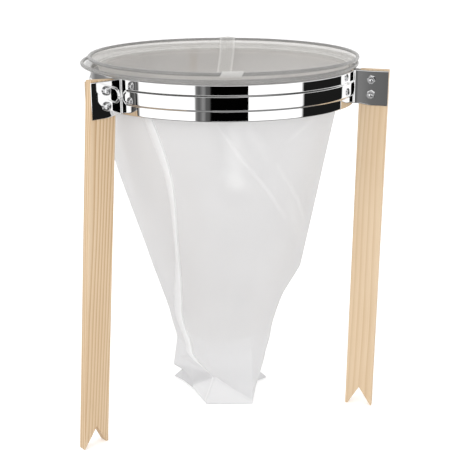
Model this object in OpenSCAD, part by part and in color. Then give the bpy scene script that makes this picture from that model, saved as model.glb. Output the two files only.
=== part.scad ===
// Double sieve strainer for honey: a ring of three steel band sectors clamped to three
// notched wooden legs, with a fine and a coarse nylon sieve hung in it on wire hoops.
// Origin on the ring's axis, in the plane that the leg tips stand on. +Z up.

/* [Ring] */
// Outside diameter of the band
ring_d = 270; // [240:1:300]
// Height of the band
band_h = 33; // [28:1:40]
// Thickness of the band's sheet
sheet_t = 1; // [0.8:0.1:1.5]
// Height of the band's upper edge above the leg tips
ring_top = 362; // [340:1:380]
// Radius inside the bends between band and flanges
bend_r = 1.5; // [1:0.5:3]
// Height of the raised bead along the band
bead_w = 11.4; // [8:0.2:14]
// How far the bead stands out
bead_out = 1.2; // [0.6:0.1:2]

/* [Legs] */
// Azimuth of the left, right and back leg, in degrees
leg_az = [223.5, 345, 105.5];
// How far each leg slants, foot outwards, in degrees
leg_lean = [3.9, -0.5, 0];
// Width of a leg, in the radial direction
leg_w = 28; // [24:1:34]
// Thickness of a leg
leg_t = 9; // [8:0.5:12]
// How far a leg stands above the band's upper edge
leg_rise = 0.6; // [0:0.2:2]
// Gap between the band and a leg's inner edge
leg_gap = 5; // [3:0.5:8]
// Depth of the V notch in a leg's foot
notch_d = 20; // [12:1:26]
// Flat left on the inner and outer tip of a notched foot
tip_flat = [2.5, 1];

/* [Fasteners] */
// Nominal diameter of the screws
screw_d = 4; // [3:0.5:5]
// Distance between the two screws of a leg
screw_pitch = 14.5; // [12:0.5:18]
// Distance of the screws from the leg's inner edge
screw_in = 11.5; // [9:0.5:15]
// Diameter of the screw heads
head_d = 8.6; // [7:0.2:9.5]
// Height of the screw heads
head_h = 2.7; // [2:0.1:3.2]
// Width of the nuts across their flats
nut_af = 7; // [6:0.5:8]
// Height of the nuts
nut_h = 3.2; // [2.6:0.1:4]

/* [Sieves] */
// Thickness of the hoops' wire
wire_d = 3; // [2:0.5:4]
// Thickness of the hem round the wire
hem_d = 5.6; // [5:0.2:7]
// Radius of the outer sieve's hoop
outer_hoop_r = 138.2; // [136:0.2:140]
// How far the outer sieve's hoop lies off the ring's axis, in X
outer_hoop_x = -4; // [-5:0.5:0]
// Radius of the inner sieve's hoop
inner_hoop_r = 134.8; // [133:0.2:136]
// Thickness of the solid that stands for the nylon mesh
mesh_t = 0.8; // [0.6:0.1:1.2]

/* [Hidden] */
LEFT = 0;
RIGHT = 1;
BACK = 2;
UPPER = 1;
LOWER = -1;
ring_r = ring_d / 2;
ring_bottom = ring_top - band_h;
clamp_z = ring_top - band_h / 2;
leg_in = ring_r + leg_gap;
leg_mid = leg_in + leg_w / 2;
screw_r = leg_in + screw_in;
leg_spare = 3;
floor_cut = 60;
hole_d = screw_d + 0.4;
screw_len = leg_t + 2 * sheet_t + nut_h + 1.4;
recess_w = 1.1;
recess_l = 5;
recess_d = 1.6;
thread_gap = 0.05;
bend_off = leg_t / 2 + sheet_t + bend_r;
bend_turn = asin(bend_off / (ring_r + bend_r));
bead_step = 0.8;
bead_end = 3.5;
ease = 0.02;
cap_drop = 0.15;
seam_turn = 37;
hem_gap = 0.4;
outer_hoop_z = ring_top + leg_rise + hem_gap + hem_d / 2;
inner_hoop_z = outer_hoop_z + hem_d + hem_gap;
mesh_gap = 0.3;
$fn = 180;

// Sections of the outer bag's outside: height, centre x and y, half width and half depth
outer_sections = [
    [1, -9, -8, 42, 34],
    [18, -8, -6, 49, 39],
    [45, -3, -3, 52, 46],
    [98, -1, -1, 61, 58],
    [125, 0, 0, 69, 67],
    [152, 3, 0, 80, 75],
    [230, 0, 0, 103, 99],
    [329, -4, 0, 126.5, 127],
    [ring_top + 0.5, -0.5, 0, 132.5, 132.5],
    [outer_hoop_z, outer_hoop_x, 0, outer_hoop_r - hem_d / 2 - mesh_gap, outer_hoop_r - hem_d / 2 - mesh_gap]
];
// Sections of the inner bag's outside
inner_sections = [
    [62, -2, -2, 30, 26],
    [80, -2, -2, 44, 40],
    [125, 0, 0, 58, 56],
    [152, 3, 0, 70, 65],
    [230, 0, 0, 94, 91],
    [329, -2, 0, 118, 119],
    [outer_hoop_z - hem_d, 0, 0, 127, 127],
    [inner_hoop_z, 0, 0, inner_hoop_r - hem_d / 2 - mesh_gap, inner_hoop_r - hem_d / 2 - mesh_gap]
];
bag_sides = 48;

// Puts its children at the azimuth of a leg, with X radial and Y along the leg's thickness.
module at_leg(i) {
    rotate([0, 0, leg_az[i]]) children();
}

// A ring sector of the given profile from azimuth a0 to a1.
module sweep(a0, a1) {
    rotate([0, 0, a0]) rotate_extrude(angle = a1 - a0) children();
}

// Cross section of the bead, from radius r_in out to r_out.
module bead_profile(r_in, r_out) {
    z1 = clamp_z - bead_w / 2;
    z2 = clamp_z + bead_w / 2;
    slope = bead_step / bead_out;
    polygon([
        [r_in, z1 - (r_out - r_in) * slope], [r_out, z1],
        [r_out, z2], [r_in, z2 + (r_out - r_in) * slope]
    ]);
}

// Round end of the bead, at azimuth a.
module bead_cap(a) {
    r = (bead_w + bead_step) / 2;
    h = sheet_t / 2 + bead_out - cap_drop;
    rotate([0, 0, a]) translate([ring_r - sheet_t / 2, 0, clamp_z]) rotate([0, 90, 0])
        rotate([0, 0, seam_turn]) cylinder(r = r, h = h, $fn = 48);
}

// Plan of what lies inside the band and between the flanges of legs i and j, out to radius r,
// half the leg gap and radius bend in the corners. Each corner's arc cuts its neighbours by ease.
module enclosed(i, j, r, half, bend, over) {
    centre = [sqrt(pow(ring_r + bend_r, 2) - pow(bend_off, 2)), bend_off];
    deep = centre * (1 - (bend + 1) / norm(centre));
    circle(r = r);
    for (end = [[i, 0], [j, 1]]) at_leg(end[0]) mirror([0, end[1], 0]) {
        translate([ring_r - 20, -1]) square([leg_in + leg_w - ring_r + 20 + over, half + 1]);
        difference() {
            polygon([centre, deep, [centre[0] - bend - 1, half - 1], [centre[0], half - 1]]);
            translate(centre) circle(r = bend + ease, $fn = 96);
        }
    }
}

// Plan of the sector's sheet, with its two flanges and without its bead.
module sheet_plan(i, j, a0, a1) {
    reach = 2 * ring_d;
    intersection() {
        difference() {
            enclosed(i, j, ring_r, leg_t / 2 + sheet_t, bend_r, 0);
            enclosed(i, j, ring_r - sheet_t, leg_t / 2, bend_r + sheet_t, 1);
        }
        polygon([
            [0, 0], reach * [cos(a0), sin(a0)],
            reach * [cos((a0 + a1) / 2), sin((a0 + a1) / 2)], reach * [cos(a1), sin(a1)]
        ]);
    }
}

// Sector from the counter-clockwise side of leg i to the clockwise side of leg j.
module band_sector(i, j) {
    a0 = leg_az[i];
    a1 = leg_az[j] + (leg_az[j] < leg_az[i] ? 360 : 0);
    b0 = a0 + bend_turn + bead_end;
    b1 = a1 - bend_turn - bead_end;
    color("gainsboro") difference() {
        union() {
            translate([0, 0, ring_bottom]) linear_extrude(band_h) sheet_plan(i, j, a0, a1);
            sweep(b0, b1) bead_profile(ring_r - sheet_t / 2, ring_r + bead_out);
            bead_cap(b0);
            bead_cap(b1);
        }
        sweep(b0, b1) bead_profile(ring_r - 2 * sheet_t, ring_r - sheet_t + bead_out);
        for (end = [i, j], k = [LOWER, UPPER]) at_leg(end)
            translate([screw_r, -leg_t, clamp_z + k * screw_pitch / 2]) rotate([-90, 0, 0])
                cylinder(d = hole_d, h = leg_t * 2, $fn = 48);
    }
}

// Leg i: a lath with a V notch, turned about its clamp and cut off level at its feet.
module leg(i) {
    in_slope = (leg_w / 2 - tip_flat[0]) / notch_d;
    out_slope = (leg_w / 2 - tip_flat[1]) / notch_d;
    color("burlywood") at_leg(i) difference() {
        translate([leg_mid, 0, clamp_z]) rotate([0, -leg_lean[i], 0])
            translate([-leg_mid, 0, -clamp_z]) difference() {
                translate([leg_in, -leg_t / 2, -leg_spare])
                    cube([leg_w, leg_t, ring_top + leg_rise + leg_spare]);
                translate([0, leg_t, 0]) rotate([90, 0, 0]) linear_extrude(leg_t * 2)
                    polygon([
                        [leg_in + tip_flat[0] - in_slope * (leg_spare + 1), -leg_spare - 1],
                        [leg_in + leg_w - tip_flat[1] + out_slope * (leg_spare + 1), -leg_spare - 1],
                        [leg_mid, notch_d]
                    ]);
            }
        for (k = [LOWER, UPPER])
            translate([screw_r, -leg_t, clamp_z + k * screw_pitch / 2]) rotate([-90, 0, 0])
                cylinder(d = hole_d, h = leg_t * 2, $fn = 48);
        translate([leg_mid - floor_cut, -floor_cut, -floor_cut])
            cube([2 * floor_cut, 2 * floor_cut, floor_cut]);
    }
}

// Pan-head screw with a cross recess, its head on the counter-clockwise flange of leg i.
module screw(i, k) {
    dome = 1.1;
    color("silver") at_leg(i)
        translate([screw_r, leg_t / 2 + sheet_t, clamp_z + k * screw_pitch / 2]) rotate([-90, 0, 0])
            difference() {
                union() {
                    translate([0, 0, -screw_len]) cylinder(d = screw_d, h = screw_len + 0.5, $fn = 48);
                    rotate_extrude($fn = 72) polygon([
                        [0, 0], [head_d / 2, 0], [head_d / 2, head_h - dome],
                        [head_d / 2 - 0.5, head_h - 0.45], [head_d / 2 - 1.4, head_h - 0.1],
                        [0, head_h]
                    ]);
                }
                for (turn = [20, 110])
                    rotate([0, 0, turn]) translate([-recess_l / 2, -recess_w / 2, head_h - recess_d])
                        cube([recess_l, recess_w, recess_d + 1]);
            }
}

// Hex nut on the clockwise flange of leg i.
module nut(i, k) {
    color("silver") at_leg(i)
        translate([screw_r, -leg_t / 2 - sheet_t, clamp_z + k * screw_pitch / 2]) rotate([90, 0, 0])
            rotate([0, 0, k * 11]) difference() {
                cylinder(d = nut_af / cos(30), h = nut_h, $fn = 6);
                translate([0, 0, -1])
                    cylinder(r = screw_d / 2 + thread_gap, h = nut_h + 2, $fn = 48);
            }
}

// Wire hoop of radius r at height z.
module hoop(r, x, z) {
    color("lightslategray") translate([x, 0, z]) rotate_extrude()
        translate([r, 0]) circle(d = wire_d, $fn = 24);
}

// Hem tube round a hoop.
module hem(r, x, z) {
    color("lightgray") translate([x, 0, z]) rotate_extrude() translate([r, 0]) difference() {
        circle(d = hem_d, $fn = 32);
        circle(d = wire_d + 2 * thread_gap, $fn = 24);
    }
}

// Half a ring of points of a bag from azimuth start, inset from its section.
function bag_arc(s, inset, start) = [
    for (k = [0:bag_sides / 2])
        let (a = start + 360 * k / bag_sides)
        [s[1] + (s[3] - inset) * cos(a), s[2] + (s[4] - inset) * sin(a), s[0]]
];

// One of the two sewn panels of a bag: half an open cone of constant wall, closed at its
// bottom, from azimuth start to start + 180.
module bag_panel(sections, start) {
    n = bag_sides / 2 + 1;
    count = len(sections);
    rings = 2 * count;
    bottom = [sections[0][0] + mesh_t, sections[0][1], sections[0][2], sections[0][3], sections[0][4]];
    outside = [for (s = sections) each bag_arc(s, 0, start)];
    inside = [for (m = [count - 1:-1:0]) each bag_arc(m == 0 ? bottom : sections[m], mesh_t, start)];
    walls = [
        for (m = [0:rings - 2], k = [0:n - 2])
            let (a = m * n + k, b = a + n)
            each [[a, b, b + 1], [a, b + 1, a + 1]]
    ];
    seams = [
        for (m = [0:count - 2])
            let (o = m * n, i = (rings - 1 - m) * n)
            each [[o, i, i - n, o + n], [o + n - 1, o + 2 * n - 1, i - 1, i + n - 1]]
    ];
    last = (rings - 1) * n;
    ends = [
        [for (k = [0:n - 1]) k],
        [for (k = [n - 1:-1:0]) last + k],
        [0, n - 1, last + n - 1, last]
    ];
    color("whitesmoke")
        polyhedron(points = concat(outside, inside), faces = concat(walls, seams, ends), convexity = 4);
}

band_sector(LEFT, RIGHT);  // band_front
band_sector(RIGHT, BACK);  // band_right
band_sector(BACK, LEFT);  // band_left
leg(LEFT);  // leg_left
leg(RIGHT);  // leg_right
leg(BACK);  // leg_back
screw(LEFT, UPPER);  // screw_left_upper
screw(LEFT, LOWER);  // screw_left_lower
screw(RIGHT, UPPER);  // screw_right_upper
screw(RIGHT, LOWER);  // screw_right_lower
screw(BACK, UPPER);  // screw_back_upper
screw(BACK, LOWER);  // screw_back_lower
nut(LEFT, UPPER);  // nut_left_upper
nut(LEFT, LOWER);  // nut_left_lower
nut(RIGHT, UPPER);  // nut_right_upper
nut(RIGHT, LOWER);  // nut_right_lower
nut(BACK, UPPER);  // nut_back_upper
nut(BACK, LOWER);  // nut_back_lower
hoop(outer_hoop_r, outer_hoop_x, outer_hoop_z);  // outer_hoop
hem(outer_hoop_r, outer_hoop_x, outer_hoop_z);  // outer_hem
bag_panel(outer_sections, 90);  // outer_bag_left
bag_panel(outer_sections, -90);  // outer_bag_right
hoop(inner_hoop_r, 0, inner_hoop_z);  // inner_hoop
hem(inner_hoop_r, 0, inner_hoop_z);  // inner_hem
bag_panel(inner_sections, 90);  // inner_bag_left
bag_panel(inner_sections, -90);  // inner_bag_right
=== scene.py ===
import math

import bmesh
import bpy
from mathutils import Matrix, Vector, noise


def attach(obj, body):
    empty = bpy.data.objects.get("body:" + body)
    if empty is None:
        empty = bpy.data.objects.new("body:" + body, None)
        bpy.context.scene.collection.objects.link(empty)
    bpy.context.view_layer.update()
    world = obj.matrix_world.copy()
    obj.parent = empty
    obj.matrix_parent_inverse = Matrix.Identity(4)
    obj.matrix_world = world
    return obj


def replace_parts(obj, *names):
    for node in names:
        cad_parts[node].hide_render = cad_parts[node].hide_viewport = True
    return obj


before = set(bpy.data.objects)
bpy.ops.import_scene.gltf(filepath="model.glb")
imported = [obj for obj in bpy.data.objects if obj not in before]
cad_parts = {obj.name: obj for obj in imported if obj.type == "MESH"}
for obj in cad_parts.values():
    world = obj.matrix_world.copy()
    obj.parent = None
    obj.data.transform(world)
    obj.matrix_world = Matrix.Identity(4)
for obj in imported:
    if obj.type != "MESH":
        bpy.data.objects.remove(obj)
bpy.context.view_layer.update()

MM = 0.001

# ---------------------------------------------------------------- camera
CAMERA_AT = (6.57 * MM, -930.2 * MM, 493.3 * MM)
CAMERA_TILT = math.radians(90 - 14.98)
camera_data = bpy.data.cameras.new("camera")
camera_data.lens = 71.33
camera_data.sensor_width = 36
camera_data.shift_y = -0.1196
camera = bpy.data.objects.new("camera", camera_data)
camera.location = CAMERA_AT
camera.rotation_euler = (CAMERA_TILT, 0, 0)
bpy.context.scene.collection.objects.link(camera)
bpy.context.scene.camera = camera
bpy.context.scene.view_settings.view_transform = "Standard"

# ---------------------------------------------------------------- sizes of the frame, in mm
RING_R = 135.0
RING_TOP = 362.0
BAND_H = 33.0
BAND_LOW = RING_TOP - BAND_H
SHEET_T = 1.0
BEND_R = 1.5
CLAMP_Z = RING_TOP - BAND_H / 2
BEAD_HALF = 5.7
BEAD_OUT = 1.2
BEAD_STEP = 2.0
BEAD_END = 3.5
NO_BEAD = -99.0
LEG_AZ = {"left": 223.5, "right": 345.0, "back": 105.5}
LEG_LEAN = {"left": 3.9, "right": -0.5, "back": 0.0}
LEG_IN, LEG_W, LEG_T = 140.0, 28.0, 9.0
LEG_MID = LEG_IN + LEG_W / 2
LEG_TOP = RING_TOP + 0.6
NOTCH_D = 20.0
TIP_IN, TIP_OUT = 2.5, 1.0
SCREW_R = 151.5
SCREW_PITCH = 14.5
THREAD_PITCH = 0.7
ROOT_R = 1.62
PLAIN_SHANK = 9.0
RECESS_DEPTH = 1.6
FLANGE_DROP = 1.7
# The hoops: centre x, radius, height.
OUTER_HOOP = (-4.0, 138.2, 365.8)
INNER_HOOP = (0.0, 134.8, 371.8)
BEND_OFF = LEG_T / 2 + SHEET_T + BEND_R
BEND_TURN = math.degrees(math.asin(BEND_OFF / (RING_R + BEND_R)))


# ---------------------------------------------------------------- node helpers
class Tree:
    """A short way to write a material's or the world's nodes."""

    def __init__(self, owner):
        owner.use_nodes = True
        self.tree = owner.node_tree
        self.tree.nodes.clear()

    def add(self, kind, settings=None, **inputs):
        """A node with its inputs set by name, or by number as i0, i1 and on."""
        node = self.tree.nodes.new("ShaderNode" + kind)
        for key, value in (settings or {}).items():
            setattr(node, key, value)
        for key, value in inputs.items():
            name = int(key[1:]) if key[0] == "i" and key[1:].isdigit() else key.replace("_", " ")
            self.put(value, node.inputs[name])
        return node

    def put(self, value, socket):
        """Links a socket or a node's first output, or sets a plain value."""
        if isinstance(value, bpy.types.NodeSocket):
            self.tree.links.new(value, socket)
        elif isinstance(value, bpy.types.Node):
            self.tree.links.new(value.outputs[0], socket)
        else:
            socket.default_value = value

    def math(self, operation, a, b=None, c=None, clamp=False):
        node = self.add("Math", {"operation": operation, "use_clamp": clamp})
        for index, value in enumerate((a, b, c)):
            if value is not None:
                self.put(value, node.inputs[index])
        return node.outputs[0]

    def ramp(self, fac, stops):
        node = self.add("ValToRGB", None, Fac=fac)
        ramp = node.color_ramp
        while len(ramp.elements) > 1:
            ramp.elements.remove(ramp.elements[-1])
        for index, (place, value) in enumerate(stops):
            element = ramp.elements[0] if index == 0 else ramp.elements.new(place)
            element.position = place
            element.color = (*value, 1) if hasattr(value, "__len__") else (value, value, value, 1)
        return node.outputs[0]

    def scaled(self, vector, x, y, z):
        return self.add("Mapping", None, Vector=vector, Scale=(x, y, z)).outputs[0]

    def stretched(self, x, y, z):
        return self.scaled(self.add("TexCoord").outputs["Object"], x, y, z)

    def noise(self, vector, scale, detail):
        return self.add("TexNoise", None, Vector=vector, Scale=scale, Detail=detail).outputs["Fac"]

    def span(self, value, low, high, out_low, out_high):
        node = self.add("MapRange", None, Value=value)
        for index, number in enumerate((low, high, out_low, out_high)):
            node.inputs[index + 1].default_value = number
        return node.outputs[0]


def new_material(name):
    material = bpy.data.materials.new(name)
    return material, Tree(material)


# ---------------------------------------------------------------- materials
RING_GAP = 3.1 * MM


def steel(name, color, rough_low, rough_high, wave, fine):
    """Polished metal: faint streaks in its roughness and colour, a slight waviness of the sheet."""
    material, t = new_material(name)
    streaks = t.noise(t.stretched(60, 60, 900), 1.0, 4)
    mottle = t.noise(t.stretched(1, 1, 1), 35.0, 3)
    tint = t.ramp(mottle, [(0.3, [c * 0.94 for c in color]), (0.7, color)])
    rough = t.span(streaks, 0.3, 0.7, rough_low, rough_high)
    swell = t.noise(t.stretched(1, 1, 0.6), 22.0, 1)
    bump = t.add("Bump", None, Height=swell, Distance=wave, Strength=1.0)
    grain = t.add("Bump", None, Height=streaks, Distance=fine, Strength=0.5, Normal=bump.outputs[0])
    shader = t.add(
        "BsdfPrincipled", None, Base_Color=tint, Metallic=1.0, Roughness=rough, Normal=grain.outputs[0]
    )
    t.add("OutputMaterial", None, Surface=shader)
    return material


def pine(name, seed, ring_at, contrast):
    """Pine cut from a log with its heart at ring_at, an x, a y and a lean: growth rings and fibres."""
    material, t = new_material(name)
    coords = t.add("TexCoord").outputs["Object"]
    moved = t.add("Mapping", None, Vector=coords, Location=(seed, seed * 0.7, seed * 1.3)).outputs[0]
    slow = t.noise(t.scaled(moved, 16, 16, 2.2), 1.0, 2)
    shiver = t.noise(t.scaled(moved, 160, 160, 9), 1.0, 3)
    parts = t.add("SeparateXYZ", None, Vector=coords)
    across = t.math("SUBTRACT", parts.outputs["X"], ring_at[0])
    deep = t.math("SUBTRACT", parts.outputs["Y"], ring_at[1])
    lean = t.math("MULTIPLY", parts.outputs["Z"], ring_at[2])
    across = t.math("ADD", across, lean)
    far = t.math("SQRT", t.math("ADD", t.math("MULTIPLY", across, across), t.math("MULTIPLY", deep, deep)))
    far = t.math("ADD", far, t.math("MULTIPLY", slow, 0.011))
    far = t.math("ADD", far, t.math("MULTIPLY", shiver, 0.0007))
    year = t.math("FRACT", t.math("MULTIPLY", far, 1 / RING_GAP))
    late = t.ramp(year, [(0.0, 0.0), (0.45, 0.12), (0.8, 0.72), (0.93, 1.0), (1.0, 0.0)])
    late = t.math("MULTIPLY", late, t.span(slow, 0.35, 0.65, contrast * 0.5, contrast))
    fibre = t.noise(t.scaled(moved, 1500, 1500, 22), 1.0, 3)
    blotch = t.noise(t.scaled(moved, 30, 30, 6), 1.0, 3)
    base = t.ramp(blotch, [(0.3, (0.655, 0.495, 0.325)), (0.7, (0.70, 0.545, 0.375))])
    dark = t.add("MixRGB", None, Fac=late, Color1=base, Color2=(0.44, 0.265, 0.125, 1)).outputs[0]
    thread = t.span(fibre, 0.35, 0.75, 0.0, 0.22)
    color = t.add("MixRGB", None, Fac=thread, Color1=dark, Color2=(0.52, 0.36, 0.20, 1)).outputs[0]
    height = t.math("ADD", t.math("MULTIPLY", fibre, 0.6), t.math("MULTIPLY", late, 0.5))
    bump = t.add("Bump", None, Height=height, Distance=0.0002, Strength=0.7)
    rough = t.span(fibre, 0.3, 0.7, 0.52, 0.7)
    shader = t.add("BsdfPrincipled", None, Base_Color=color, Roughness=rough, Normal=bump.outputs[0])
    t.add("OutputMaterial", None, Surface=shader)
    return material


def nylon(name, pitch, color, folded, cover_low, cover_high, glow):
    """White nylon mesh: threads and gaps from the cloth's own UVs in metres, see-through between.
    Where the attribute layers is 1 the cloth is whiter: it lies several times over itself there, and on the
    outer bag's creases and foot the whiteness is a painted highlight.
    Below 0 the attribute is painted shade, drawn darker and more see-through."""
    material, t = new_material(name)
    uv = t.add("UVMap", {"uv_map": "cloth"}).outputs[0]
    parts = t.add("SeparateXYZ", None, Vector=uv)
    weft = t.math("PINGPONG", parts.outputs["X"], pitch / 2)
    warp = t.math("PINGPONG", parts.outputs["Y"], pitch / 2)
    weft = t.math("MULTIPLY", weft, 2 / pitch)
    warp = t.math("MULTIPLY", warp, 2 / pitch)
    threads = t.math("MAXIMUM", weft, warp)
    grid = t.span(threads, 0.45, 0.7, cover_low, cover_high)
    layers_and_painted_light = t.add("Attribute", {"attribute_name": "layers_and_painted_light"}).outputs["Fac"]
    cover = t.math("MULTIPLY_ADD", layers_and_painted_light, 0.35, grid, clamp=True)
    slow = t.noise(t.stretched(1, 1, 1), 18.0, 3)
    tint = t.ramp(slow, [(0.3, [c * 0.97 for c in color]), (0.7, color)])
    # Painted shade: below 0 the layers attribute darkens the tint.
    shade = t.span(layers_and_painted_light, -1.0, 0.0, 0.0, 1.0)
    tint = t.add("MixRGB", None, Fac=shade, Color1=[c * 0.7 for c in color] + [1], Color2=tint).outputs[0]
    # Above 0 the tint goes to the folded colour: for cloth lying over itself, and as painted highlight on
    # the outer bag's creases and foot.
    white = t.math("MAXIMUM", layers_and_painted_light, 0.0)
    tint = t.add("MixRGB", None, Fac=white, Color1=tint, Color2=(*folded, 1)).outputs[0]
    bump = t.add("Bump", None, Height=threads, Distance=0.00008, Strength=0.4)
    rumple = t.noise(t.stretched(1, 1, 0.6), 24.0, 3)
    bump = t.add("Bump", None, Height=rumple, Distance=0.0008, Strength=0.5, Normal=bump.outputs[0])
    normal = bump.outputs[0]
    cloth = t.add(
        "BsdfPrincipled", None, Base_Color=tint, Roughness=0.6, Normal=normal, Sheen_Weight=0.1
    )
    cloth.inputs["Specular IOR Level"].default_value = 0.25
    through = t.add("BsdfTranslucent", None, Color=tint, Normal=normal)
    body = t.add("MixShader", None, Fac=glow, i1=cloth, i2=through)
    clear = t.add("BsdfTransparent")
    both = t.add("MixShader", None, Fac=cover, i1=clear, i2=body)
    t.add("OutputMaterial", None, Surface=both)
    return material


def thread_material():
    material, t = new_material("sewing_thread")
    twist = t.add("TexWave", None, Vector=t.stretched(1, 1, 1), Scale=900.0, Distortion=1.0)
    color = t.ramp(twist.outputs["Fac"], [(0.0, (0.72, 0.72, 0.70)), (1.0, (0.9, 0.9, 0.88))])
    bump = t.add("Bump", None, Height=twist.outputs["Fac"], Distance=0.0001, Strength=0.6)
    shader = t.add("BsdfPrincipled", None, Base_Color=color, Roughness=0.55, Normal=bump.outputs[0])
    t.add("OutputMaterial", None, Surface=shader)
    return material


POLISHED = steel("polished_sheet", (0.9, 0.9, 0.9), 0.01, 0.035, 0.0003, 0.000004)
BRIGHT = steel("bright_zinc", (0.80, 0.80, 0.81), 0.12, 0.26, 0.0001, 0.00001)
WIRE = steel("drawn_wire", (0.30, 0.30, 0.30), 0.10, 0.22, 0.00005, 0.00002)
PINES = {
    "left": pine("pine_left", 0.31, (0.176, 0.014, 0.03), 1.0),
    "right": pine("pine_right", 1.7, (0.190, 0.050, -0.006), 0.5),
    "back": pine("pine_back", 3.9, (0.120, 0.030, 0.010), 0.6),
}
FINE = nylon("fine_nylon", 0.0005, (0.77, 0.77, 0.78), (0.97, 0.97, 0.97), 0.68, 0.90, 0.3)
COARSE = nylon("coarse_nylon", 0.0010, (0.80, 0.775, 0.745), (0.88, 0.87, 0.85), 0.24, 0.68, 0.3)
HEM = nylon("hem_nylon", 0.0007, (0.70, 0.69, 0.67), (0.94, 0.93, 0.91), 0.16, 0.50, 0.3)
THREAD = thread_material()


# ---------------------------------------------------------------- mesh helpers
def grid_faces(rows, cols, closed, start=0):
    """Quads between rows of cols points each, from point start on."""
    faces = []
    for r in range(rows - 1):
        for c in range(cols if closed else cols - 1):
            n = (c + 1) % cols
            a, b = start + r * cols, start + (r + 1) * cols
            faces.append((a + c, a + n, b + n, b + c))
    return faces


def make_piece(name, points, faces, material, body, sharp=None, at=None, outward=False):
    """A mesh object from points in mm, in the shared frame or in that of the matrix at."""
    mesh = bpy.data.meshes.new(name)
    mesh.from_pydata([Vector(p) * MM for p in points], [], faces)
    if outward:
        work = bmesh.new()
        work.from_mesh(mesh)
        bmesh.ops.recalc_face_normals(work, faces=work.faces)
        work.to_mesh(mesh)
        work.free()
    for polygon in mesh.polygons:
        polygon.use_smooth = True
    if sharp:
        mesh.set_sharp_from_angle(angle=math.radians(sharp))
    mesh.materials.append(material)
    piece = bpy.data.objects.new(name, mesh)
    bpy.context.scene.collection.objects.link(piece)
    if at is not None:
        piece.matrix_world = at
    bpy.context.view_layer.update()
    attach(piece, body)
    return piece


def smoothstep(x):
    x = min(max(x, 0.0), 1.0)
    return x * x * (3 - 2 * x)


def spread(a, b, count):
    return [a + (b - a) * k / count for k in range(count + 1)]


def leg_matrix(side):
    return Matrix.Rotation(math.radians(LEG_AZ[side]), 4, "Z")


# ---------------------------------------------------------------- band sectors
def band_plan(first, last):
    """Outer line of a sector in plan: (x, y, normal x, normal y, distance from the bead's end)."""
    centre = (math.sqrt((RING_R + BEND_R) ** 2 - BEND_OFF**2), BEND_OFF)
    face = LEG_T / 2 + SHEET_T
    start = [(x, face, 0.0, 1.0, NO_BEAD) for x in spread(LEG_IN + LEG_W, centre[0], 14)]
    for angle in spread(-90.0, -180.0 + BEND_TURN, 12)[1:]:
        c, s = math.cos(math.radians(angle)), math.sin(math.radians(angle))
        start.append((centre[0] + BEND_R * c, centre[1] + BEND_R * s, -c, -s, NO_BEAD))
    turn_first = math.radians(LEG_AZ[first])
    span = (LEG_AZ[last] - LEG_AZ[first]) % 360
    line = []
    for x, y, nx, ny, d in start:
        c, s = math.cos(turn_first), math.sin(turn_first)
        line.append((x * c - y * s, x * s + y * c, nx * c - ny * s, nx * s + ny * c, d))
    near = [0.15 * k for k in range(1, 60)]
    middle = spread(BEND_TURN + 9, span - BEND_TURN - 9, 110)
    turns = [BEND_TURN + a for a in near if a < 8.95] + middle + [span - BEND_TURN - a for a in near[::-1]]
    for turn in turns:
        a = turn_first + math.radians(turn)
        c, s = math.cos(a), math.sin(a)
        end = min(turn, span - turn) - BEND_TURN - BEAD_END
        line.append((RING_R * c, RING_R * s, c, s, math.radians(end) * RING_R))
    turn_last = math.radians(LEG_AZ[last])
    for x, y, nx, ny, d in start[::-1]:
        c, s = math.cos(turn_last), math.sin(turn_last)
        line.append((x * c + y * s, x * s - y * c, nx * c + ny * s, nx * s - ny * c, d))
    return line


def bead_height(end, dz):
    """How far the bead stands out, end mm inside its round end and dz from its middle."""
    off = math.hypot(end, dz) if end < 0 else abs(dz)
    return BEAD_OUT * smoothstep((BEAD_HALF + BEAD_STEP - off) / BEAD_STEP)


def band(name, first, last):
    plan = band_plan(first, last)
    edge = 0.18
    lower = [-BAND_H / 2, edge - BAND_H / 2, -15.6, -13, -10, -8.2]
    lower += spread(-BEAD_HALF - BEAD_STEP, -BEAD_HALF, 16) + [-4.6, -3, -1.2, 0]
    levels = lower + [-z for z in lower[-2::-1]]
    points = []
    for side in (0, 1):
        for z in levels:
            rim = edge if abs(z) == BAND_H / 2 else 0.0
            for x, y, nx, ny, end in plan:
                out = bead_height(end, z) - (SHEET_T - rim if side else rim)
                reach = smoothstep((math.hypot(x, y) - RING_R - 3) / 14)
                drop = FLANGE_DROP * reach * (0.6 - z / (1.25 * BAND_H))
                points.append((x + nx * out, y + ny * out, CLAMP_Z + z - drop))
    cols, rows = len(plan), len(levels)
    size = rows * cols
    faces = grid_faces(rows, cols, False)
    faces += [f[::-1] for f in grid_faces(rows, cols, False, size)]
    for c in range(cols - 1):
        faces.append((c, size + c, size + c + 1, c + 1))
        top = size - cols + c
        faces.append((top, top + 1, size + top + 1, size + top))
    for r in range(rows - 1):
        a, b = r * cols, (r + 1) * cols
        faces.append((a, b, size + b, size + a))
        a, b = a + cols - 1, b + cols - 1
        faces.append((a, size + a, size + b, b))
    return make_piece(name, points, faces, POLISHED, "frame", 50, outward=True)


for sector, (first, last) in {
    "band_front": ("left", "right"),
    "band_right": ("right", "back"),
    "band_left": ("back", "left"),
}.items():
    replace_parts(band("sheet_" + sector, first, last), sector)


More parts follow.
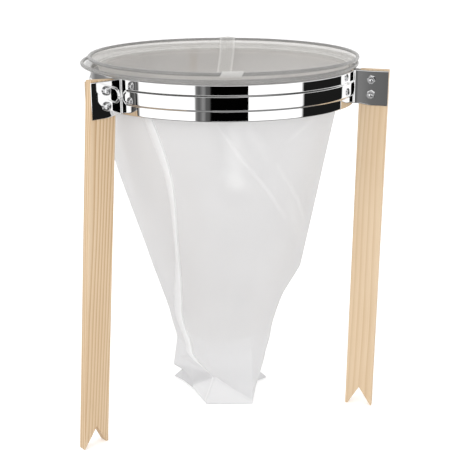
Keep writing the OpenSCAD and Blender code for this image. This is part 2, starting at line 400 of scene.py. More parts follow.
# ---------------------------------------------------------------- legs
def leg_outline(side):
    """Corners of the lath in its own plane, cut off level at the floor."""
    lean = math.radians(LEG_LEAN[side])

    def floor_z(x, slope=0.0):
        """Where the line x + slope * z meets the floor."""
        return (CLAMP_Z * (math.cos(lean) - 1) - (x - LEG_MID) * math.sin(lean)) / (
            math.cos(lean) + slope * math.sin(lean)
        )

    in_slope = (LEG_W / 2 - TIP_IN) / NOTCH_D
    out_slope = (LEG_W / 2 - TIP_OUT) / NOTCH_D
    outer = LEG_IN + LEG_W
    z_in = floor_z(LEG_IN + TIP_IN, in_slope)
    z_out = floor_z(outer - TIP_OUT, -out_slope)
    tip_x = outer - TIP_OUT - out_slope * z_out
    corners = [(LEG_IN, floor_z(LEG_IN)), (LEG_IN + TIP_IN + in_slope * z_in, z_in), (LEG_MID, NOTCH_D)]
    if tip_x < outer - 0.05:
        corners += [(tip_x, z_out), (outer, floor_z(outer))]
    else:
        # The notch reaches the outer edge above the floor, so no level tip is left.
        corners.append((outer, -TIP_OUT / out_slope))
    return corners + [(outer, LEG_TOP), (LEG_IN, LEG_TOP)]


def leg(side):
    lean = Matrix.Rotation(math.radians(-LEG_LEAN[side]), 4, "Y")
    pivot = Matrix.Translation(Vector((LEG_MID, 0, CLAMP_Z)) * MM)
    at = leg_matrix(side) @ pivot @ lean @ pivot.inverted()
    outline = leg_outline(side)
    count = len(outline)
    points = [(x, y, z) for y in (-LEG_T / 2, LEG_T / 2) for x, z in outline]
    faces = [tuple(range(count)), tuple(range(2 * count - 1, count - 1, -1))]
    faces += [(k, (k + 1) % count, count + (k + 1) % count, count + k) for k in range(count)]
    piece = make_piece("lath_" + side, points, faces, PINES[side], "frame", at=at, outward=True)
    work = bmesh.new()
    work.from_mesh(piece.data)
    bmesh.ops.bevel(work, geom=work.edges[:], offset=0.55 * MM, segments=3, affect="EDGES", profile=0.6)
    work.to_mesh(piece.data)
    work.free()
    for polygon in piece.data.polygons:
        polygon.use_smooth = True
    piece.data.set_sharp_from_angle(angle=math.radians(32))
    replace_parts(piece, "leg_" + side)


for side in LEG_AZ:
    leg(side)


# ---------------------------------------------------------------- screws and nuts
def lathe(profile, count):
    """Rings of points about +Z from (radius, height) pairs, closed at both ends."""
    points = []
    for r, z in profile:
        for k in range(count):
            a = 2 * math.pi * k / count
            points.append((r * math.cos(a), r * math.sin(a), z))
    faces = grid_faces(len(profile), count, True)
    faces.append(tuple(range(count))[::-1])
    faces.append(tuple(range(len(points) - count, len(points))))
    return points, faces


def cut_recess(piece, depth, top):
    """Cuts a cross recess with tapered wings into a screw head."""
    work = bmesh.new()
    for turn in (20, 110):
        made = bmesh.ops.create_cube(work, size=1.0)["verts"]
        for v in made:
            low = v.co.z < 0
            v.co.x *= (3.0 if low else 5.0) * MM
            v.co.y *= (0.75 if low else 1.1) * MM
            v.co.z = (top - depth if low else top + 1.0) * MM
        bmesh.ops.rotate(work, verts=made, matrix=Matrix.Rotation(math.radians(turn), 3, "Z"))
    mesh = bpy.data.meshes.new("recess")
    work.to_mesh(mesh)
    work.free()
    cutter = bpy.data.objects.new("recess", mesh)
    bpy.context.scene.collection.objects.link(cutter)
    cutter.matrix_world = piece.matrix_world
    bpy.context.view_layer.update()
    cut = piece.modifiers.new("recess", "BOOLEAN")
    cut.operation, cut.object, cut.solver, cut.use_self = "DIFFERENCE", cutter, "EXACT", True
    graph = bpy.context.evaluated_depsgraph_get()
    result = bpy.data.meshes.new_from_object(piece.evaluated_get(graph))
    piece.modifiers.clear()
    piece.data = result
    bpy.data.objects.remove(cutter)
    piece.data.set_sharp_from_angle(angle=math.radians(35))


def fastener_matrix(side, level, face, turn):
    """Frame on a flange: +Z away from the leg, on its counter-clockwise face if face is 1."""
    z = CLAMP_Z + level * SCREW_PITCH / 2
    place = Matrix.Translation(Vector((SCREW_R, face * (LEG_T / 2 + SHEET_T), z)) * MM)
    tip = Matrix.Rotation(math.radians(-90 * face), 4, "X")
    return leg_matrix(side) @ place @ tip @ Matrix.Rotation(math.radians(turn), 4, "Z")


def screw(side, level, name, turn):
    r, height, shank, length = 4.3, 2.7, 1.95, 15.6
    z = -length
    thread = [(1.2, z)]
    while z < -PLAIN_SHANK:
        thread += [(ROOT_R, z + 0.12), (shank, z + 0.42), (shank, z + 0.5), (ROOT_R, z + THREAD_PITCH)]
        z += THREAD_PITCH
    head = [(shank, -PLAIN_SHANK), (shank, 0.0), (r - 0.1, 0.0), (r, 0.12), (r, 1.25), (r - 0.08, 1.65)]
    head += [(r - 0.35, 2.05), (r - 0.8, 2.32), (r - 1.5, 2.52), (r - 2.6, 2.65), (0.5, height)]
    points, faces = lathe(thread + head, 48)
    at = fastener_matrix(side, level, 1, turn)
    piece = make_piece(name, points, faces, BRIGHT, "frame", 35, at, outward=True)
    cut_recess(piece, RECESS_DEPTH, height)
    return piece


def nut(side, level, name, turn):
    flat, height, bore = 3.5, 3.2, 2.0
    chamfer_r = flat * 1.04

    def hexagon(angle, r):
        if r <= chamfer_r:
            return r
        part = (math.degrees(angle) + 30) % 60 - 30
        return min(r, flat / math.cos(math.radians(part)))

    big = flat / math.cos(math.radians(30))
    ring = [(bore, 0.0), (chamfer_r, 0.0), (big, 0.33), (big, height - 0.33), (chamfer_r, height)]
    ring += [(bore + 0.3, height), (bore, height - 0.3)]
    count = 72
    points = []
    for r, z in ring:
        for k in range(count):
            a = 2 * math.pi * k / count
            reach = hexagon(a, r)
            z_here = z
            if r == big:
                drop = (big - reach) * 0.33 / (big - chamfer_r)
                z_here = z - drop if z < height / 2 else z + drop
            points.append((reach * math.cos(a), reach * math.sin(a), z_here))
    faces = grid_faces(len(ring), count, True)
    last = (len(ring) - 1) * count
    faces += [(last + k, last + (k + 1) % count, (k + 1) % count, k) for k in range(count)]
    at = fastener_matrix(side, level, -1, turn)
    return make_piece(name, points, faces, BRIGHT, "frame", 30, at, outward=True)


for n, side in enumerate(LEG_AZ):
    for level, word in ((1, "upper"), (-1, "lower")):
        tag = f"{side}_{word}"
        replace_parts(screw(side, level, "pan_screw_" + tag, 13 + 41 * n + 17 * level), "screw_" + tag)
        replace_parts(nut(side, level, "hex_nut_" + tag, 11 * level + 7 * n), "nut_" + tag)


# ---------------------------------------------------------------- cloth shapes
# Columns of a bag's control net, clockwise from +X as seen from above, in degrees.
COLUMN_AT = [0, -27, -55, -85, -112, -143, -175, -205, -240, -270, -310, -340, -360]
NET_COLS = len(COLUMN_AT) - 1
# Upper rows of the outer bag: height, leftmost and rightmost x, half depth.
OUTER_ROWS = [
    (365.2, -139.9, 131.9, 135.9),
    (362.5, -134.5, 130.6, 132.6),
    (350.0, -132.6, 126.6, 130.6),
    (329.0, -130.0, 117.8, 125.5),
    (311.0, -125.6, 114.2, 120.6),
    (264.0, -113.3, 104.9, 109.5),
    (228.0, -102.6, 97.9, 99.0),
    (196.0, -92.4, 91.7, 90.5),
    (172.0, -84.4, 87.0, 83.0),
    (149.0, -77.0, 82.6, 75.5),
    (134.0, -71.8, 74.6, 70.5),
    (120.0, -67.2, 67.0, 66.5),
    (111.0, -64.2, 63.4, 63.5),
    (97.0, -60.2, 58.8, 58.5),
    (80.0, -56.6, 54.1, 52.5),
]
# Lower rows of the outer bag: one point a column, (x, y, z).
OUTER_NET = [
    [(51, -2, 61), (45.5, -25, 61), (30, -41, 61), (6, -47, 61), (-18, -43.5, 61), (-39, -29, 61),
     (-52, -4, 61), (-47, 20, 61), (-24, 37, 61), (4, 42, 61), (32, 34, 61), (46, 16, 61)],
    [(46.3, -2, 43), (43, -25, 42), (31, -42, 41), (8, -45, 42), (-17, -41, 44), (-42, -21, 45),
     (-54.5, 0, 41), (-46, 19, 41), (-25, 35, 43), (4, 40, 43), (30, 33, 43), (43, 15, 43)],
    [(39.5, -1, 28), (39, -24, 26), (31, -43, 22), (10, -43, 25), (-13, -37, 32), (-38, -19, 38),
     (-56.6, 2, 24.5), (-38, 19, 23), (-26, 32, 24), (2, 37, 26), (27, 31, 26), (38, 15, 26)],
    [(35, 0, 15), (35.5, -22, 12), (31, -44, 3.0), (11, -40, 15), (-9, -35.5, 28), (-34, -19, 10),
     (-45, 2, 17), (-44.5, 18, 13.5), (-27, 29, 12), (0, 35, 12), (26, 31, 12), (37, 16, 12)],
    [(32, 2, 2.2), (32.5, -20, 1.8), (30.5, -44.5, 0.8), (6, -44.5, 0.8), (-19, -44.5, 0.8),
     (-35, -14, 4), (-46, 6, 2.5), (-57.5, 19, 1.2), (-29, 27, 1.4), (-1, 33, 1.4), (25, 30, 1.4),
     (48.5, 15, 1.6)],
    [(20, 1, 2.6), (18, -10, 2.4), (14, -24, 2.0), (2, -26, 2.0), (-12, -25, 2.0), (-21, -6, 3.0),
     (-26, 3, 2.6), (-30, 9, 2.2), (-17, 14, 2.2), (-2, 17, 2.2), (11, 16, 2.2), (22, 9, 2.2)],
]
PANEL_ROW = len(OUTER_ROWS) + 3
# Upper rows of the inner bag, as for the outer one.
INNER_ROWS = [
    (371.2, -133.2, 133.2, 133.2),
    (366.0, -129.0, 129.0, 129.0),
    (360.2, -126.6, 126.6, 126.6),
    (329.0, -119.5, 111.8, 118.0),
    (280.0, -107.2, 105.5, 105.5),
    (230.0, -93.7, 93.7, 91.0),
    (190.0, -81.0, 84.0, 78.5),
    (152.0, -67.0, 73.0, 65.0),
    (125.0, -58.0, 58.0, 56.0),
    (100.0, -51.0, 49.0, 47.0),
    (80.0, -45.5, 41.5, 39.5),
    (66.0, -35.0, 31.0, 29.0),
    (63.0, -16.0, 12.0, 12.0),
]
OUTER_COLS, INNER_COLS = 560, 400
# Z-fold of the outer bag: height, azimuth, width in mm.
PLEAT = [(26, -116, 3.0), (40, -126, 6.5), (52, -138, 8.5), (61, -141.5, 9.5), (77, -138, 11.0),
         (96, -141.0, 12.5), (110, -138.5, 13.0), (124, -134, 12.5), (160, -126.0, 7.0),
         (192, -120.8, 4.2), (242, -116.5, 6.5), (274, -116, 8.0), (322, -120.5, 11.0), (362, -126.5, 12.0)]
# Creases of the outer bag's front: a line of (x, z), its height, half width and whiteness, a painted
# highlight along the ridge.
CREASES = [
    ([(-6, 326), (16, 292), (42, 256), (60, 222)], 0.8, 1.6, 0.24),
    ([(51, 281), (72, 240), (83, 205)], 0.5, 1.8, 0.12),
    ([(62, 304), (88, 324)], 0.4, 2.2, 0.10),
    ([(8, 330), (10, 290), (12, 266)], 0.4, 9.0, 0.26),
    ([(2, 272), (22, 262)], 0.5, 8.0, 0.24),
    ([(20, 325), (40, 290)], 0.4, 5.0, 0.12),
    ([(60, 250), (84, 180)], 0.4, 6.0, 0.08),
    ([(-60, 300), (-40, 240), (-36, 190)], 0.4, 7.0, 0.06),
    ([(52, 190), (40, 130), (28, 80)], 0.5, 12.0, 0.05),
]
# Light creases of its back, which the photograph doesn't show.
# Their whiteness too is a painted highlight along each ridge.
BACK_CREASES = [
    ([(-70, 320), (-30, 262), (-8, 190)], 0.8, 1.8, 0.22),
    ([(60, 318), (44, 250), (40, 180)], 0.6, 2.0, 0.16),
    ([(20, 300), (34, 240), (30, 200)], 0.5, 5.0, 0.12),
    ([(-40, 170), (-20, 110), (-22, 60)], 0.6, 3.0, 0.14),
    ([(30, 130), (20, 80), (22, 50)], 0.5, 3.0, 0.12),
]


def spline(points, x):
    """Catmull-Rom through points at places 0, 1, 2 and on, at place x."""
    k = min(int(x), len(points) - 2)
    t = x - k
    a, b = points[max(k - 1, 0)], points[k]
    c, d = points[k + 1], points[min(k + 2, len(points) - 1)]
    return [
        0.5 * (2 * q + (r - p) * t + (2 * p - 5 * q + 4 * r - s) * t * t + (3 * q - p - 3 * r + s) * t**3)
        for p, q, r, s in zip(a, b, c, d)
    ]


def column_of(angle):
    """Place among the columns of an azimuth from 0 to -360."""
    for k, (a, b) in enumerate(zip(COLUMN_AT, COLUMN_AT[1:])):
        if b <= angle:
            return k + (angle - a) / (b - a)
    return float(NET_COLS)


def angle_of(place):
    k = min(int(place), NET_COLS - 1)
    return COLUMN_AT[k] + (COLUMN_AT[k + 1] - COLUMN_AT[k]) * (place - k)


def row_point(row, place):
    if len(row) == 4:
        z, left, right, deep = row
        a = math.radians(angle_of(place))
        return ((left + right) / 2 + (right - left) / 2 * math.cos(a), deep * math.sin(a), z)
    k = int(place) % NET_COLS
    t = place - int(place)
    a, b = row[k], row[(k + 1) % NET_COLS]
    return tuple(m + (n - m) * t for m, n in zip(a, b))


def loft(rows, count, gap):
    """Lofted rows of count points about gap mm apart, each with its place among the given rows."""
    columns = [[row_point(row, NET_COLS * k / count) for row in rows] for k in range(count)]
    out = []
    for r in range(len(rows) - 1):
        far = max(math.dist(columns[k][r], columns[k][r + 1]) for k in range(0, count, 20))
        steps = max(int(far / gap), 2)
        for s in range(steps):
            x = r + s / steps
            crisp = 0.75 if len(rows[r]) == 4 and rows[r][0] > 175 else 0.25
            line = []
            for column in columns:
                bent = spline(column, x)
                flat = [m + (n - m) * (x - r) for m, n in zip(column[r], column[r + 1])]
                line.append([crisp * m + (1 - crisp) * n for m, n in zip(bent, flat)])
            out.append((x, line))
    out.append((len(rows) - 1.0, [list(column[-1]) for column in columns]))
    return out


def line_distance(x, z, line):
    """Distance in the x-z plane to a polyline, and how far along it from 0 to 1."""
    best, at = 1e9, 0.0
    for k, ((x0, z0), (x1, z1)) in enumerate(zip(line, line[1:])):
        dx, dz = x1 - x0, z1 - z0
        t = min(max(((x - x0) * dx + (z - z0) * dz) / (dx * dx + dz * dz), 0.0), 1.0)
        d = math.hypot(x - x0 - t * dx, z - z0 - t * dz)
        if d < best:
            best, at = d, (k + t) / (len(line) - 1)
    return best, at


def crease_at(x, z, creases):
    """Height of the creases at a point of the outer bag, and their whiteness, a painted highlight along
    each ridge.
    """
    height = white = 0.0
    for line, tall, wide, painted_highlight in creases:
        d, at = line_distance(x, z, line)
        if d < wide * 2.5:
            part = math.exp(-((d / wide) ** 2)) * math.sin(math.pi * min(max(at, 0.06), 0.94)) ** 0.5
            height += tall * part
            white += painted_highlight * part
    return height, white


def foot_painted_light(row, place):
    """Painted light on the outer bag's folded foot: a painted highlight on its end panel, painted shade on
    its gusset and a painted highlight along the edges between.
    """
    white = 0.0
    if row > PANEL_ROW and 2 < place < 5:
        white = 0.34 * smoothstep((row - PANEL_ROW) * 5)
    elif row > PANEL_ROW - 1 and 4 < place < 7.6:
        white = -0.3 * smoothstep((row - PANEL_ROW + 1) * 2.5) * smoothstep((place - 4) * 3)
    edge = abs(row - PANEL_ROW)
    if 2 < place < 5 and edge < 0.14:
        white += 0.32 * (1 - edge / 0.14)
    return white


def cloth_rows(lofted, seed, rough, front=False):
    """Adds creases and small waves to lofted rows: [x, y, z, layers] points.
    On the outer bag, layers also holds painted highlights along the creases, painted shade behind the band
    and painted light on the foot.
    """
    out = []
    for place, line in lofted:
        count = len(line)
        cx = sum(p[0] for p in line) / count
        cy = sum(p[1] for p in line) / count
        moved = []
        for k, (x, y, z) in enumerate(line):
            q, n = line[k - 1], line[(k + 1) % count]
            tx, ty = n[0] - q[0], n[1] - q[1]
            size = math.hypot(tx, ty) or 1.0
            nx, ny = -ty / size, tx / size
            if nx * (x - cx) + ny * (y - cy) < 0:
                nx, ny = -nx, -ny
            # The waves die out towards the hem and the foot.
            free = smoothstep((352 - z) / 50) * smoothstep((z - 34) / 40)
            low = noise.noise(Vector((x / 60, y / 60, z / 130 + seed))) * 1.6
            low += noise.noise(Vector((x / 24, y / 24, z / 90 + seed))) * 0.5
            low *= rough * free
            white = 0.0
            # Creases raise a ridge and paint a highlight along it.
            if front and abs(y) > 10:
                tall, white = crease_at(x, z, CREASES if y < 0 else BACK_CREASES)
                low += tall * free
            # Painted shade: darker and more see-through behind the band. Whiter towards the foot.
            if front and z > BAND_LOW:
                white -= 0.75 * smoothstep((z - BAND_LOW) / 6)
            if front:
                white += 0.1 * smoothstep((130 - z) / 60)
            # Painted light on the foot: lighter end panel, darker gusset, highlit edge.
            if front and z < 60:
                white += foot_painted_light(place, NET_COLS * k / count)
            moved.append([x + nx * low, y + ny * low, max(z, 0.7), white])
        out.append(moved)
    return out


def fold_row(line, angle, wide):
    """Lays a Z-fold of the given width into a row, centred on an azimuth."""
    count, extra = len(line), 16
    cx = sum(q[0] for q in line) / count
    cy = sum(q[1] for q in line) / count
    around = sum(math.dist(line[k][:2], line[(k + 1) % count][:2]) for k in range(count))
    middle = column_of(angle) / NET_COLS * count
    half = wide / around * count / 2

    def on_line(place, out, white):
        k = int(math.floor(place))
        t = place - k
        p = [m + (n - m) * t for m, n in zip(line[k % count], line[(k + 1) % count])]
        size = math.hypot(p[0] - cx, p[1] - cy) or 1.0
        return [p[0] + (p[0] - cx) / size * out, p[1] + (p[1] - cy) / size * out, p[2], p[3] + white]

    start, end = middle - half, middle + half
    rest = count - (end - start)
    folded = [on_line(end + rest * k / count, 0.0, 0.0) for k in range(count)]
    lay = [(p, -0.9 * smoothstep(p * 3)) for p in spread(0.0, 1.0, extra)]
    lay += [(1.01, -0.6)]
    lay += [(p, 0.05 - 0.3 * p) for p in spread(1.0, 0.0, extra)]
    lay += [(-0.01, 0.5)]
    lay += [(p, 0.9 * smoothstep((1 - p) * 3)) for p in spread(0.0, 1.0, extra)][:-1]
    flat = max(min(wide / 3.0, 1.0), 0.15)
    for place, out in lay:
        white = 0.36 + 0.4 * (1 - min(max(place, 0.0), 1.0)) ** 1.4
        folded.append(on_line(start + (end - start) * place, out * flat, white))
    return folded


def smooth_at(table, x):
    """A smooth curve through a table's rows at x: its other values."""
    k = 0
    while k < len(table) - 2 and x > table[k + 1][0]:
        k += 1
    t = min(max((x - table[k][0]) / (table[k + 1][0] - table[k][0]), 0.0), 1.0)
    return spline([row[1:] for row in table], k + t)


def fold_rows(rows, table):
    """Lays the table's Z-fold down a bag's rows, running out towards the foot."""
    out = []
    for line in rows:
        z = sum(p[2] for p in line) / len(line)
        angle, wide = smooth_at(table, z)
        out.append(fold_row(line, angle, max(wide * smoothstep((z - 22) / 14), 0.4)))
    return out


def cloth_piece(name, rows, closed, material, body):
    """A sheet from rows of [x, y, z, layers], with its cloth UVs and its layers attribute of cloth layers
    and painted light.
    """
    cols = len(rows[0])
    flat = [p for row in rows for p in row]
    faces = grid_faces(len(rows), cols, closed)
    piece = make_piece(name, [p[:3] for p in flat], faces, material, body)
    fall = [0.0] * cols
    uvs = []
    for r, row in enumerate(rows):
        run = 0.0
        for c, p in enumerate(row):
            if r:
                fall[c] += math.dist(p[:3], rows[r - 1][c][:3])
            uvs.append((run, fall[c]))
            run += math.dist(p[:3], row[(c + 1) % cols][:3])
    add_uvs(piece, uvs, cols if closed else 0)
    values = piece.data.attributes.new("layers_and_painted_light", "FLOAT", "POINT")
    values.data.foreach_set("value", [p[3] for p in flat])
    return piece


def add_uvs(piece, uvs, cols):
    """Cloth coordinates in metres. Faces that close a ring of cols points carry on past its end."""
    layer = piece.data.uv_layers.new(name="cloth")
    for polygon in piece.data.polygons:
        loops = list(polygon.loop_indices)
        here = [piece.data.loops[i].vertex_index for i in loops]
        closing = cols and {v % cols for v in here} == {0, cols - 1}
        for i, v in zip(loops, here):
            u, w = uvs[v]
            if closing and v % cols == 0:
                other = next(m for m in here if m % cols == cols - 1 and m // cols == v // cols)
                u = uvs[other][0] + 1.0
            layer.data[i].uv = (u * MM, w * MM)


# ---------------------------------------------------------------- bags
def close_bottom(rows, count=7):
    """Rows that draw the last ring in to a small one, so that the bag ends in a closed tuft."""
    last = rows[-1]
    cx = sum(p[0] for p in last) / len(last)
    cy = sum(p[1] for p in last) / len(last)
    out = []
    for k in range(1, count + 1):
        t = 1 - k / (count + 0.02)
        out.append([[cx + (p[0] - cx) * t, cy + (p[1] - cy) * t, p[2], p[3]] for p in last])
    return rows + out


outer_rows = cloth_rows(loft(OUTER_ROWS + OUTER_NET, OUTER_COLS, 2.2), 2.7, 0.6, True)
outer_rows = close_bottom(fold_rows(outer_rows, PLEAT))
outer_bag = cloth_piece("fine_bag", outer_rows, True, FINE, "outer_sieve")
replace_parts(outer_bag, "outer_bag_left", "outer_bag_right")
inner_rows = close_bottom(cloth_rows(loft(INNER_ROWS, INNER_COLS, 3.0), 9.1, 0.8))
inner_bag = cloth_piece("coarse_bag", inner_rows, True, COARSE, "inner_sieve")
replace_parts(inner_bag, "inner_bag_left", "inner_bag_right")


# ---------------------------------------------------------------- hoops, hems and seams
def torus(name, hoop, shift, radius, material, body):
    """A wire ring on a hoop, given as (centre x, radius, height)."""
    cx, ring, z0 = hoop
    cols, rows = 360, 16
    points = []
    for r in range(rows):
        b = 2 * math.pi * r / rows
        for c in range(cols):
            a = 2 * math.pi * c / cols
            reach = ring + shift + radius * math.cos(b)
            points.append((cx + reach * math.cos(a), reach * math.sin(a), z0 + radius * math.sin(b)))
    faces = grid_faces(rows, cols, True)
    last = (rows - 1) * cols
    faces += [(last + c, last + (c + 1) % cols, (c + 1) % cols, c) for c in range(cols)]
    return make_piece(name, points, faces, material, body, outward=True)


WIRE_R = 1.5
WIRE_SHIFT = 0.8
SLEEVE_R = 1.95
# The hem's lip is measured down from LIP_FROM below the hoop; its stitches run STITCH_UP over its edge.
LIP_FROM = 1.2
LIP_TOP, LIP = 1.2, 9.5
STITCH_UP = 2.4
SEAM_LIFT = 1.3
SEAM_BACK, SEAM_FRONT, OVERLAP_AT = math.radians(88.5), math.radians(-86.5), math.radians(-86.7)


def wall_at(rows, z, a):
    """Point of an upper bag row at height z and angle a."""
    for upper, lower in zip(rows, rows[1:]):
        if lower[0] <= z:
            t = (upper[0] - z) / (upper[0] - lower[0])
            left, right, deep = (m + (n - m) * t for m, n in zip(upper[1:], lower[1:]))
            return ((left + right) / 2 + (right - left) / 2 * math.cos(a), deep * math.sin(a))
    return None


def hem(name, hoop, rows, body, seed):
    """The bag's edge folded over its wire and sewn down: a snug sleeve and a flat lip inside."""
    cx, ring, z0 = hoop
    cols = 620
    out = []
    for down in spread(LIP, LIP_TOP, 12):
        line = []
        for c in range(cols):
            a = -2 * math.pi * c / cols
            z = z0 - LIP_FROM - down
            x, y = wall_at(rows, min(z, rows[0][0] - 0.05), a)
            place = Vector((math.cos(a) * 11, math.sin(a) * 11, seed + down * 0.08))
            wave = noise.noise(place * 3.0) * 0.42 + noise.noise(place * 9.0) * 0.2
            inset = 0.75 + wave * (down / LIP)
            layers_and_painted_light = 0.6 if 1.6 < LIP - down < 3.2 else 0.35
            sway = wave * 1.3 * (down / LIP)
            line.append([x - inset * math.cos(a), y - inset * math.sin(a), z + sway, layers_and_painted_light])
        out.append(line)
    for b in spread(200, -70, 15):
        line = []
        for c in range(cols):
            a = -2 * math.pi * c / cols
            place = Vector((math.cos(a) * 11, math.sin(a) * 11, seed + b * 0.01))
            pucker = noise.noise(place * 6.0) * 0.14 + noise.noise(place * 15.0) * 0.08
            tube = SLEEVE_R + pucker
            reach = ring + WIRE_SHIFT + tube * math.cos(math.radians(b))
            z = z0 + tube * math.sin(math.radians(b))
            line.append([cx + reach * math.cos(a), reach * math.sin(a), z, 0.0])
        out.append(line)
    return cloth_piece(name, out, True, HEM, body)


def stitches(name, hoop, rows, body, count, seed):
    """A row of stitches through the hem's lip."""
    points, faces = [], []
    sides, reach = 6, 0.2
    for k in range(count):
        a = 2 * math.pi * (k + 0.1 * noise.noise(Vector((k * 3.1, seed, 0)))) / count
        z = hoop[2] - LIP_FROM - (LIP - STITCH_UP) + 0.15 * noise.noise(Vector((k * 0.9, 7.0, seed)))
        x, y = wall_at(rows, z, a)
        size = math.hypot(x, y)
        step = 2 * math.pi / count * 0.36
        line = []
        for t, inset in ((-1.0, 0.6), (-0.8, 1.0), (0.0, 1.15), (0.8, 1.0), (1.0, 0.6)):
            b = a + step * t
            turn = b - a
            px = x * math.cos(turn) - y * math.sin(turn)
            py = x * math.sin(turn) + y * math.cos(turn)
            line.append(Vector((px * (1 - inset / size), py * (1 - inset / size), z)))
        start = len(points)
        out = Vector((math.cos(a), math.sin(a), 0))
        for p in line:
            for m in range(sides):
                b = 2 * math.pi * m / sides
                points.append(p + out * reach * math.cos(b) + Vector((0, 0, reach * math.sin(b))))
        faces += grid_faces(len(line), sides, True, start)
        faces.append(tuple(start + m for m in range(sides))[::-1])
        faces.append(tuple(start + (len(line) - 1) * sides + m for m in range(sides)))
    return make_piece(name, points, faces, THREAD, body, outward=True)


def seam_strip(name, rows, hoop, middle, half, low, body, over):
    """A sewn seam allowance: a strip down the bag's wall, half mm to each side of the angle middle
    and down to the height low. Where over is set it also wraps over the hoop at its top."""
    cx, ring, z0 = hoop
    path = [("tube", b) for b in spread(-40, 195, 16)] if over else []
    path += [("wall", z) for z in spread(z0 - 3.5, low, 60)]
    cols = 20
    out = []
    for n, (kind, value) in enumerate(path):
        line = []
        for c in range(cols + 1):
            off = half * (2 * c / cols - 1)
            wobble = 0.5 * noise.noise(Vector((n * 0.14, 3.3, SEAM_LIFT)))
            edge = abs(2 * c / cols - 1)
            lift = SEAM_LIFT + 0.1 * math.sin(c * 1.9 + n * 0.05)
            if kind == "tube":
                tube = SLEEVE_R + 0.45 + 0.8 * (1 - edge * edge)
                reach = ring + WIRE_SHIFT + tube * math.cos(math.radians(value))
                a = middle + (off + wobble) / ring
                p = [cx + reach * math.cos(a), reach * math.sin(a)]
                z = z0 + tube * math.sin(math.radians(value))
            else:
                x0, y0 = wall_at(rows, value, middle)
                a = middle + (off + wobble) / math.hypot(x0, y0)
                x, y = wall_at(rows, value, a)
                p = [x - lift * math.cos(a), y - lift * math.sin(a)]
                z = value
            line.append([p[0], p[1], z, 0.35 + 0.4 * smoothstep((edge - 0.6) / 0.25)])
        out.append(line)
    return cloth_piece(name, out, False, HEM, body)


for node, hoop, body in (
    ("outer_hoop", OUTER_HOOP, "outer_sieve"),
    ("inner_hoop", INNER_HOOP, "inner_sieve"),
):
    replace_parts(torus("wire_" + node, hoop, WIRE_SHIFT, WIRE_R, WIRE, body), node)
outer_hem = hem("sewn_hem_outer", OUTER_HOOP, OUTER_ROWS, "outer_sieve", 1.5)
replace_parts(outer_hem, "outer_hem")
inner_hem = hem("sewn_hem_inner", INNER_HOOP, INNER_ROWS, "inner_sieve", 6.5)
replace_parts(inner_hem, "inner_hem")
outer_stitches = stitches("hem_stitches_outer", OUTER_HOOP, OUTER_ROWS, "outer_sieve", 300, 1.0)
inner_stitches = stitches("hem_stitches_inner", INNER_HOOP, INNER_ROWS, "inner_sieve", 300, 5.0)
back_seam = seam_strip(
    "back_seam_inner", INNER_ROWS, INNER_HOOP, SEAM_BACK,
    half=8.8, low=120, body="inner_sieve", over=True,
)
front_seam = seam_strip(
    "front_seam_outer", OUTER_ROWS, OUTER_HOOP, SEAM_FRONT,
    half=10.0, low=262, body="outer_sieve", over=False,
)


def overlap(name, hoop, middle, half, body):
    """The short piece of cloth where the hem's ends lap over each other on the hoop."""
    cx, ring, z0 = hoop
    out = []
    for b in spread(215, -75, 22):
        line = []
        for off in spread(-half, half, 18):
            slant = 1.6 * math.sin(math.radians(b))
            tube = SLEEVE_R + 0.75 + 0.2 * noise.noise(Vector((off * 0.3, b * 0.02, 4.0)))
            a = middle + (off + slant) / ring
            reach = ring + WIRE_SHIFT + tube * math.cos(math.radians(b))
            z = z0 + tube * math.sin(math.radians(b))
            line.append([cx + reach * math.cos(a), reach * math.sin(a), z, 0.65])
        out.append(line)
    return cloth_piece(name, out, False, HEM, body)


inner_overlap = overlap("hem_overlap_inner", INNER_HOOP, OVERLAP_AT, 9.4, "inner_sieve")


# ---------------------------------------------------------------- floor, light and world
def stage_plane(name, corners):
    """A rectangle of the studio, and the empty tree of its material."""
    mesh = bpy.data.meshes.new(name)
    mesh.from_pydata(corners, [], [(0, 1, 2, 3)])
    plane = bpy.data.objects.new(name, mesh)
    bpy.context.scene.collection.objects.link(plane)
    material, tree = new_material(name)
    mesh.materials.append(material)
    return plane, tree


floor, tree = stage_plane("floor", [(-9, -9, 0), (9, -9, 0), (9, 9, 0), (-9, 9, 0)])
paper = tree.add("BsdfPrincipled", None, Base_Color=(0.92, 0.92, 0.92, 1), Roughness=0.9)
paper.inputs["Emission Color"].default_value = (1, 1, 1, 1)
paper.inputs["Emission Strength"].default_value = 0.25
tree.add("OutputMaterial", None, Surface=paper)
floor.visible_glossy = False

# What polished metal mirrors, by the azimuth looked towards: white walls with dark gaps.
WALL, GAP = 1.3, 0.0005
MIRRORED = [
    (-180, WALL), (-172.4, WALL), (-171.6, GAP), (-164.8, GAP), (-164.0, WALL), (-113.4, WALL),
    (-112.6, 0.25), (-110.6, 0.12), (-109, 0.13),
    (-107, 0.28), (-105.5, 0.25), (-104.1, 0.11), (-101.2, 0.09), (-100.6, 0.003),
    (-99.0, 0.003), (-98.6, WALL), (-21.6, WALL),
    (-20.6, 0.012), (28.4, 0.012), (29.4, WALL), (66.0, WALL), (80.0, 0.3), (110.0, 0.5),
    (130.0, 0.2), (150.0, 0.25), (160.0, 0.6), (167.0, WALL), (180, WALL),
]
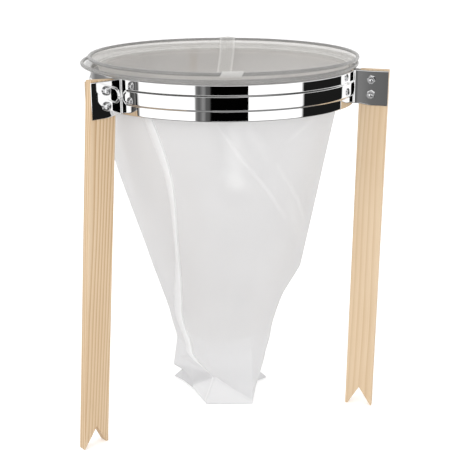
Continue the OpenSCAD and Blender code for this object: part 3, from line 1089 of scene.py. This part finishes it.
# How far the walls give way, and to what, by the height looked towards from 0 (down) to 1 (up).
AWAY = [(0.0, 1.0), (0.22, 1.0), (0.3, 0.0), (0.505, 0.0), (0.53, 1.0), (1.0, 1.0)]
PLAIN = [
    (0.0, 0.3), (0.1, 0.2), (0.2, 0.05), (0.3, 0.05), (0.45, 1.1), (0.68, 1.1), (0.74, 0.1),
    (0.9, 0.07), (1.0, 0.6),
]
world = bpy.data.worlds.new("studio")
bpy.context.scene.world = world
tree = Tree(world)
direction = tree.add("TexCoord").outputs["Generated"]
parts = tree.add("SeparateXYZ", None, Vector=direction)
azimuth = tree.math("ARCTAN2", parts.outputs["Y"], parts.outputs["X"])
turn = tree.math("MULTIPLY_ADD", azimuth, 1 / (2 * math.pi), 0.5)
walls = tree.ramp(turn, [(0.5 + a / 360, v) for a, v in MIRRORED])
height = tree.span(parts.outputs["Z"], -1.0, 1.0, 0.0, 1.0)
away = tree.ramp(height, AWAY)
plain = tree.ramp(height, PLAIN)
seen = tree.add("MixRGB", None, Fac=away, Color1=walls, Color2=plain).outputs[0]
rays = tree.add("LightPath")
color = tree.add("MixRGB", None, Fac=rays.outputs["Is Glossy Ray"], Color1=(1, 1, 1, 1), Color2=seen)
back = tree.add("Background", None, Color=color.outputs[0], Strength=1.0)
tree.add("OutputWorld", None, Surface=back)

# A black card before the camera, seen only in the polished band.
CARD_X, CARD_Y, CARD_TOP = (-0.152, 0.334), -0.96, 0.37
corners = ((0, 0), (1, 0), (1, CARD_TOP), (0, CARD_TOP))
card, tree = stage_plane("black_card", [(CARD_X[end], CARD_Y, z) for end, z in corners])
tree.add("OutputMaterial", None, Surface=tree.add("BsdfDiffuse", None, Color=(GAP, GAP, GAP, 1)))
card.visible_camera = card.visible_diffuse = card.visible_shadow = card.visible_transmission = False


def lamp(name, place, aim, size, power):
    """A square area lamp that polished metal doesn't mirror."""
    data = bpy.data.lights.new(name, "AREA")
    data.shape = "SQUARE"
    data.size = size
    data.energy = power
    light = bpy.data.objects.new(name, data)
    light.location = place
    light.rotation_euler = (Vector(aim) - Vector(place)).to_track_quat("-Z", "Y").to_euler()
    light.visible_glossy = False
    bpy.context.scene.collection.objects.link(light)


lamp("key", (-1.1, -1.0, 1.6), (0, 0, 0.25), 0.9, 9)
lamp("fill", (1.4, -0.8, 0.9), (0, 0, 0.2), 1.0, 3)
